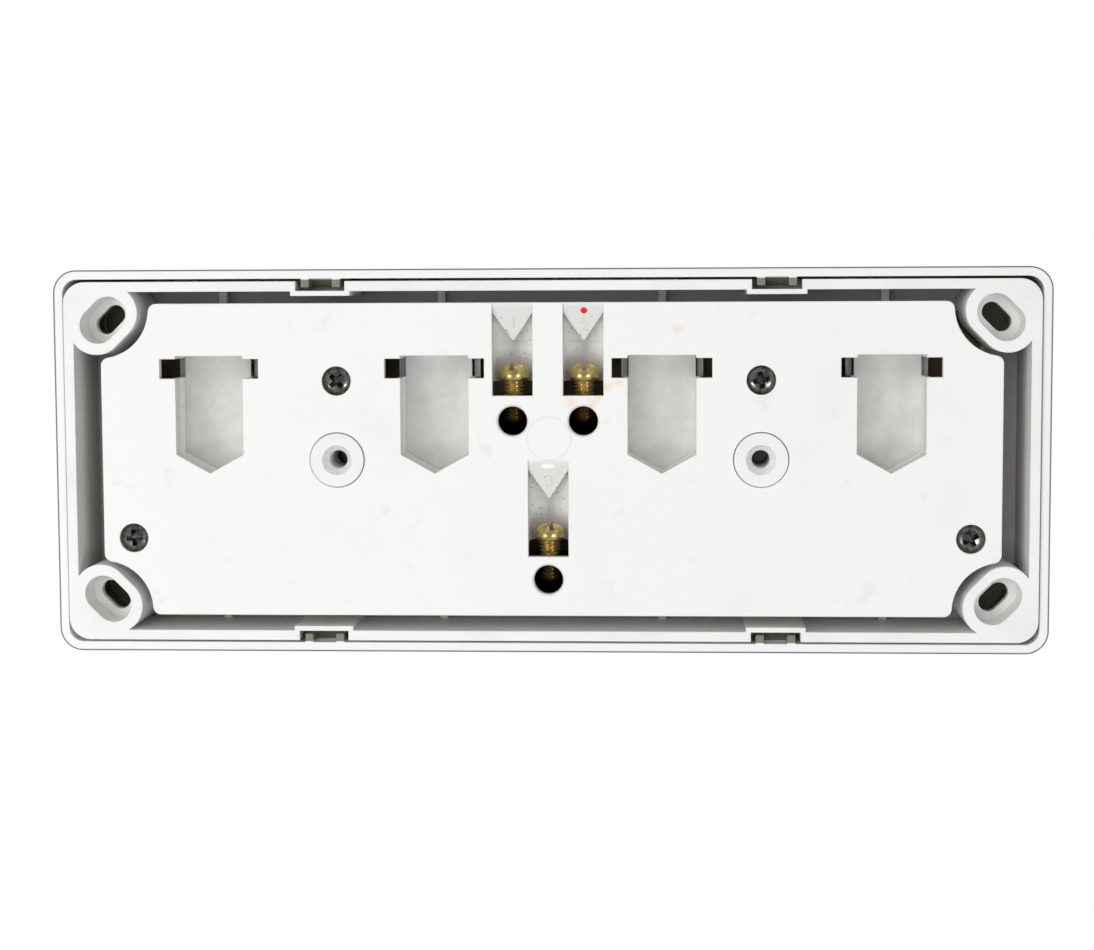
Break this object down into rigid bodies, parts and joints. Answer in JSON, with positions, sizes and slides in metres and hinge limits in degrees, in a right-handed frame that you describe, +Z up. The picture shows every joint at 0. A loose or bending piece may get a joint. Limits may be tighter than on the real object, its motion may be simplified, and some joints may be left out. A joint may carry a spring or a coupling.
{
  "type": "quad power outlet",
  "caption": "Wide wall-mounted power outlet with switched three-pin sockets, clip-on front cover and open wiring back.",
  "frame": {"origin": "in the wall plane, midway between the two fixing holes", "axes": "+X to the right seen from the room, +Z up as installed, -Y from the wall into the room"},
  "size_m": [0.1972, 0.0263, 0.0763],
  "materials": {
    "cover_plastic": "satin",
    "frame_plastic": "satin",
    "brass": "satin",
    "steel": "satin"
  },
  "bodies": {
    "housing": {"front_cover": "cover_plastic", "base_frame": "frame_plastic", "rear_cover": "frame_plastic", "housing_screw_1": "steel", "housing_screw_2": "steel", "housing_screw_3": "steel", "housing_screw_4": "steel", "neutral_terminal": "brass", "active_terminal": "brass", "earth_terminal": "brass", "neutral_terminal_screw": "brass", "active_terminal_screw": "brass", "earth_terminal_screw": "brass", "neutral_busbar": "brass", "active_busbar": "brass", "earth_busbar": "brass", "active_contact_1": "brass", "active_contact_2": "brass", "active_contact_3": "brass", "active_contact_4": "brass"},
    "switch_1": {"rocker_1": "cover_plastic", "rocker_spring_1": "steel", "plunger_1": "frame_plastic"},
    "contact_1": {"contact_arm_1": "brass"},
    "switch_2": {"rocker_2": "cover_plastic", "rocker_spring_2": "steel", "plunger_2": "frame_plastic"},
    "contact_2": {"contact_arm_2": "brass"},
    "switch_3": {"rocker_3": "cover_plastic", "rocker_spring_3": "steel", "plunger_3": "frame_plastic"},
    "contact_3": {"contact_arm_3": "brass"},
    "switch_4": {"rocker_4": "cover_plastic", "rocker_spring_4": "steel", "plunger_4": "frame_plastic"},
    "contact_4": {"contact_arm_4": "brass"}
  },
  "joints": [
    {"name": "rocker_1_tip", "type": "hinge", "parent": "housing", "child": "switch_1", "pos_m": [-0.0675, -0.0192, 0.02], "axis": [1, 0, 0], "range_deg": [0, 14]},
    {"name": "contact_1_tip", "type": "hinge", "parent": "housing", "child": "contact_1", "pos_m": [-0.0675, -0.01315, 0.02], "axis": [1, 0, 0], "range_deg": [-12, 0]},
    {"name": "rocker_2_tip", "type": "hinge", "parent": "housing", "child": "switch_2", "pos_m": [-0.0225, -0.0192, 0.02], "axis": [1, 0, 0], "range_deg": [0, 14]},
    {"name": "contact_2_tip", "type": "hinge", "parent": "housing", "child": "contact_2", "pos_m": [-0.0225, -0.01315, 0.02], "axis": [1, 0, 0], "range_deg": [-12, 0]},
    {"name": "rocker_3_tip", "type": "hinge", "parent": "housing", "child": "switch_3", "pos_m": [0.0225, -0.0192, 0.02], "axis": [1, 0, 0], "range_deg": [0, 14]},
    {"name": "contact_3_tip", "type": "hinge", "parent": "housing", "child": "contact_3", "pos_m": [0.0225, -0.01315, 0.02], "axis": [1, 0, 0], "range_deg": [-12, 0]},
    {"name": "rocker_4_tip", "type": "hinge", "parent": "housing", "child": "switch_4", "pos_m": [0.0675, -0.0192, 0.02], "axis": [1, 0, 0], "range_deg": [0, 14]},
    {"name": "contact_4_tip", "type": "hinge", "parent": "housing", "child": "contact_4", "pos_m": [0.0675, -0.01315, 0.02], "axis": [1, 0, 0], "range_deg": [-12, 0]}
  ],
  "couplings": [
    {"joint": "contact_1_tip", "follows": "rocker_1_tip", "ratio": -0.857},
    {"joint": "contact_2_tip", "follows": "rocker_2_tip", "ratio": -0.857},
    {"joint": "contact_3_tip", "follows": "rocker_3_tip", "ratio": -0.857},
    {"joint": "contact_4_tip", "follows": "rocker_4_tip", "ratio": -0.857}
  ]
}
